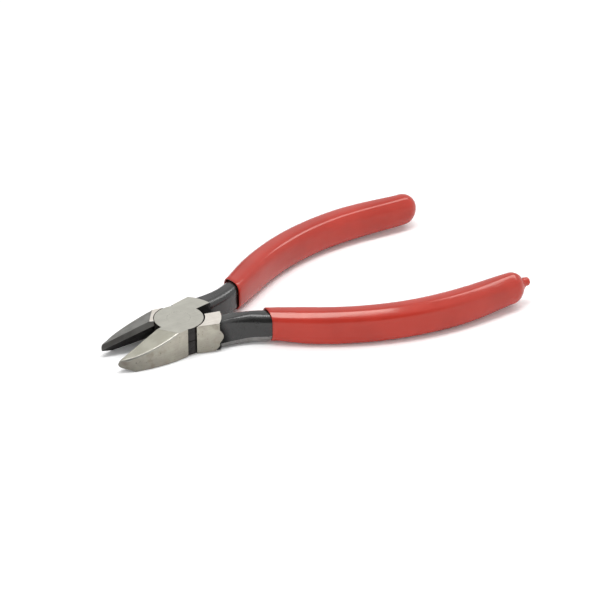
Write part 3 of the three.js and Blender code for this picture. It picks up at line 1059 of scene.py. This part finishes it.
def red_dip(name):
    """Glossy dipped plastic with a slightly uneven skin."""
    made, tree, shader = material(name)
    feed(tree, shader, "Specular IOR Level", RED_DIP["specular"])
    feed(tree, shader, "Specular Tint", RED_DIP["tint"])
    cloud = ranged(tree, pattern(tree, DIP_CLOUD), DIP_CLOUD["range"])
    feed(tree, shader, "Base Color", mixed(tree, cloud, RED_DIP["dark"], RED_DIP["light"]))
    grain = pattern(tree, DIP_SKIN)
    feed(tree, shader, "Roughness", ranged(tree, grain, DIP_SKIN["range"], RED_DIP["roughness"]))
    bump(tree, shader, grain, DIP_SKIN)
    return made


def steel_finishes():
    finishes = {name: ground_steel(name, *values) for name, values in GROUND_STEEL.items()}
    finishes.update({name: black_oxide(name, *values) for name, values in BLACK_OXIDE.items()})
    return finishes


# Stage: camera, floor, lamps and world

# The camera's place in millimetres, and its scale in pixels for a millimetre at the pivot
CAMERA = {"elevation": 29.52, "turn": 31.45, "distance": 940.0, "scale": 3.343, "right": 36.13, "up": 13.21}
IMAGE_PIXELS = 600
SENSOR_WIDTH = 36.0
CLIP_START = 0.01

# Points that the tool rests on, along it and up, in millimetres
REST_HEAD = (-19.0, 0.0)
REST_GRIP = (36.0, -0.757)

# The floor in metres: it fades to plain white between two distances. Levels are shares of white
FLOOR_SIZE = 6.0
FLOOR_FADE = (0.2, 0.4)
FLOOR_BOUNCE = 0.92
FLOOR_IN_GLOSS = 0.9
FLOOR_SEEN = 1.05
WORLD_FILL = 0.63

# Soft lamps in metres, placed by angles right of and above the view's far side
LAMP_DISTANCE = 0.6
LAMP_MIDDLE = Vector((0.04, 0.0, 0.0))
LAMPS = {
    "overhead_lamp": {"turn": -135.0, "rise": 86.0, "axis": -20.0, "size": (0.145, 0.46), "radiance": 8.0},
    "right_lamp": {"turn": 57.0, "rise": 50.0, "axis": 147.0, "size": (0.15, 0.28), "radiance": 5.0},
    "front_fill": {"turn": 180.0, "rise": 22.0, "axis": 90.0, "size": (0.5, 0.4), "radiance": 1.3},
}
NOT_MIRRORED = ("front_fill",)

# Dark cards that the tool mirrors, placed in the same way
FRONT_CARD = {"turn": 180.0, "rise": 8.0, "inner": 30.0, "outer": 62.0, "level": 0.1}
LEFT_CARD = {"turn": -29.0, "rise": 17.0, "inner": 12.0, "outer": 26.0, "level": 0.3}


def view_axes():
    """The photograph's right, up and forward directions."""
    turn = radians(CAMERA["turn"])
    rise = radians(CAMERA["elevation"])
    right = Vector((cos(turn), -sin(turn), 0.0))
    up = Vector((sin(turn) * sin(rise), cos(turn) * sin(rise), cos(rise)))
    forward = Vector((sin(turn) * cos(rise), cos(turn) * cos(rise), -sin(rise)))
    return right, up, forward


def camera():
    right, up, forward = view_axes()
    lens = bpy.data.cameras.new("photo_camera")
    lens.sensor_width = SENSOR_WIDTH
    lens.lens = CAMERA["scale"] * CAMERA["distance"] * SENSOR_WIDTH / IMAGE_PIXELS
    lens.clip_start = CLIP_START
    made = new_object("photo_camera", lens)
    place = (CAMERA["right"] * right + CAMERA["up"] * up - CAMERA["distance"] * forward) * MM
    axes = Matrix((right, up, -forward)).transposed().to_4x4()
    made.matrix_world = Matrix.Translation(place) @ axes
    bpy.context.scene.camera = made


def seen_rays(tree):
    """The light path's camera rays, and its glossy or transmission rays."""
    path = add_node(tree, "ShaderNodeLightPath").outputs
    mirrored = maths(tree, "MAXIMUM", path["Is Glossy Ray"], path["Is Transmission Ray"])
    return path["Is Camera Ray"], mirrored


def grey(level):
    return (level, level, level)


def floor_finish():
    """A white floor that keeps the shadow, and looks whiter than the light that it throws back."""
    made, tree, shader = material("floor")
    tree.nodes.remove(shader)
    to_camera, to_gloss = seen_rays(tree)
    colour = mixed(tree, to_gloss, grey(FLOOR_BOUNCE), grey(FLOOR_IN_GLOSS))
    colour = mixed(tree, to_camera, colour, grey(FLOOR_SEEN))
    near = add_node(tree, "ShaderNodeBsdfDiffuse", Color=colour)
    far = add_node(tree, "ShaderNodeEmission", Color=grey(1.0), Strength=1.0)
    place = add_node(tree, "ShaderNodeNewGeometry").outputs["Position"]
    farness = ranged(tree, length(tree, place), FLOOR_FADE)
    seen = maths(tree, "MAXIMUM", to_camera, to_gloss)
    whole = tree.nodes.new("ShaderNodeMixShader")
    feed(tree, whole, 0, maths(tree, "MULTIPLY", seen, farness))
    feed(tree, whole, 1, near.outputs[0])
    feed(tree, whole, 2, far.outputs[0])
    feed(tree, tree.nodes["Material Output"], "Surface", whole.outputs[0])
    return made


def floor():
    """The floor, leaned slightly so that the head and both grips rest on it."""
    fall = (REST_GRIP[1] - REST_HEAD[1]) / (REST_GRIP[0] - REST_HEAD[0])
    at_pivot = (REST_HEAD[1] - fall * REST_HEAD[0]) * MM
    half_size = FLOOR_SIZE / 2
    corners = [(x * half_size, y * half_size) for x, y in ((-1, -1), (1, -1), (1, 1), (-1, 1))]
    mesh = bpy.data.meshes.new("floor")
    mesh.from_pydata([(x, y, at_pivot + fall * x) for x, y in corners], [], [(0, 1, 2, 3)])
    mesh.materials.append(floor_finish())
    made = new_object("floor", mesh)


def towards(turn, rise):
    """A direction by its angles right of and above the view's far side."""
    right, _, forward = view_axes()
    level = Vector((forward.x, forward.y, 0.0)).normalized()
    flat = cos(radians(turn)) * level + sin(radians(turn)) * right
    return cos(radians(rise)) * flat + Vector((0.0, 0.0, sin(radians(rise))))


def softbox(name, settings):
    """A soft lamp that faces the middle of the tool and isn't seen itself."""
    aim = towards(settings["turn"], settings["rise"])
    side = towards(settings["axis"], 0.0)
    side = (side - aim * side.dot(aim)).normalized()
    across, along = settings["size"]
    lamp = bpy.data.lights.new(name, "AREA")
    lamp.shape = "RECTANGLE"
    lamp.size = across
    lamp.size_y = along
    lamp.energy = settings["radiance"] * pi * across * along
    made = new_object(name, lamp)
    axes = Matrix((side, aim.cross(side), aim)).transposed().to_4x4()
    made.matrix_world = Matrix.Translation(LAMP_MIDDLE + aim * LAMP_DISTANCE) @ axes
    made.visible_camera = False
    made.visible_glossy = name not in NOT_MIRRORED


def carded(tree, direction, base, card):
    """A level darkened by a card."""
    across = add_node(tree, "ShaderNodeVectorMath", {"operation": "DOT_PRODUCT"})
    feed(tree, across, 0, direction)
    feed(tree, across, 1, towards(card["turn"], card["rise"]))
    edges = [cos(radians(card[edge])) for edge in ("outer", "inner")]
    return mixed(tree, ranged(tree, across.outputs["Value"], edges), base, grey(card["level"]))


def world():
    """White to the camera, white with two dark cards in reflections, and an even fill."""
    made = bpy.data.worlds.new("studio")
    made.use_nodes = True
    tree = made.node_tree
    to_camera, to_gloss = seen_rays(tree)
    direction = add_node(tree, "ShaderNodeTexCoord").outputs["Generated"]
    mirrored = grey(1.0)
    for card in (FRONT_CARD, LEFT_CARD):
        mirrored = carded(tree, direction, mirrored, card)
    level = mixed(tree, to_gloss, grey(WORLD_FILL), mirrored)
    level = mixed(tree, to_camera, level, grey(1.0))
    feed(tree, tree.nodes["Background"], "Color", level)
    bpy.context.scene.world = made


# Assembly

def add_piece(made, side, body, node):
    """Turns a closed piece open, changes it to metres and puts it in its CAD node's place."""
    turn = Matrix.Rotation(side * radians(OPENING_ANGLE / 2), 4, "Z")
    made.data.transform(turn @ Matrix.Diagonal((MM, side * MM, MM, 1.0)))
    if side == LOWER:
        made.data.flip_normals()
    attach(made, body)
    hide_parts(node)


def halves(steels):
    shared = ("ground_bevel", "ground_side", "worn_edge", *BLACK_OXIDE)
    # Its slope colour is darkened as painted shade
    upper = half(
        "upper_half_forging", (UPPER_DISC_BOTTOM, HEAD_THICKNESS), (-OVERRUN, UPPER_DISC_BOTTOM), BELOW,
        [steels[name] for name in ("ground_cheek", "near_slope_painted_shade", *shared)],
    )
    # Its cheek colour is lighter as a painted highlight
    lower = half(
        "lower_half_forging", (0.0, LOWER_DISC_TOP), (LOWER_DISC_TOP, HEAD_THICKNESS + OVERRUN), ABOVE,
        [steels[name] for name in ("painted_highlight_cheek", "far_slope", *shared)],
    )
    soften(upper)
    soften(lower)
    add_piece(upper, UPPER, "upper_lever", "upper_half")
    add_piece(lower, LOWER, "lower_lever", "lower_half")


def rivet(finish):
    """The pivot rivet, ground flush with the head at both ends."""
    sizes = (RIVET_RADIUS, RIVET_HEAD_RADIUS, RIVET_HEAD_DEPTH)
    made = countersunk("pivot_rivet_ground", *sizes, 0.0, 0, [finish])
    soften(made)
    add_piece(made, LOWER, "lower_lever", "pivot_rivet")


def grips():
    noise.seed_set(GRIP_WAVE_SEED)
    red = red_dip("red_dip")
    upper = grip("upper_grip_dip", False, BELOW, UPPER_WAVE_START, [red])
    lower = grip("lower_grip_dip", True, ABOVE, LOWER_WAVE_START, [red])
    add_piece(upper, UPPER, "upper_lever", "upper_grip")
    add_piece(lower, LOWER, "lower_lever", "lower_grip")


bpy.context.scene.view_settings.view_transform = "Standard"
camera()
world()
for lamp_name, lamp_settings in LAMPS.items():
    softbox(lamp_name, lamp_settings)
floor()
head_steels = steel_finishes()
halves(head_steels)
rivet(head_steels["ground_cheek"])
grips()
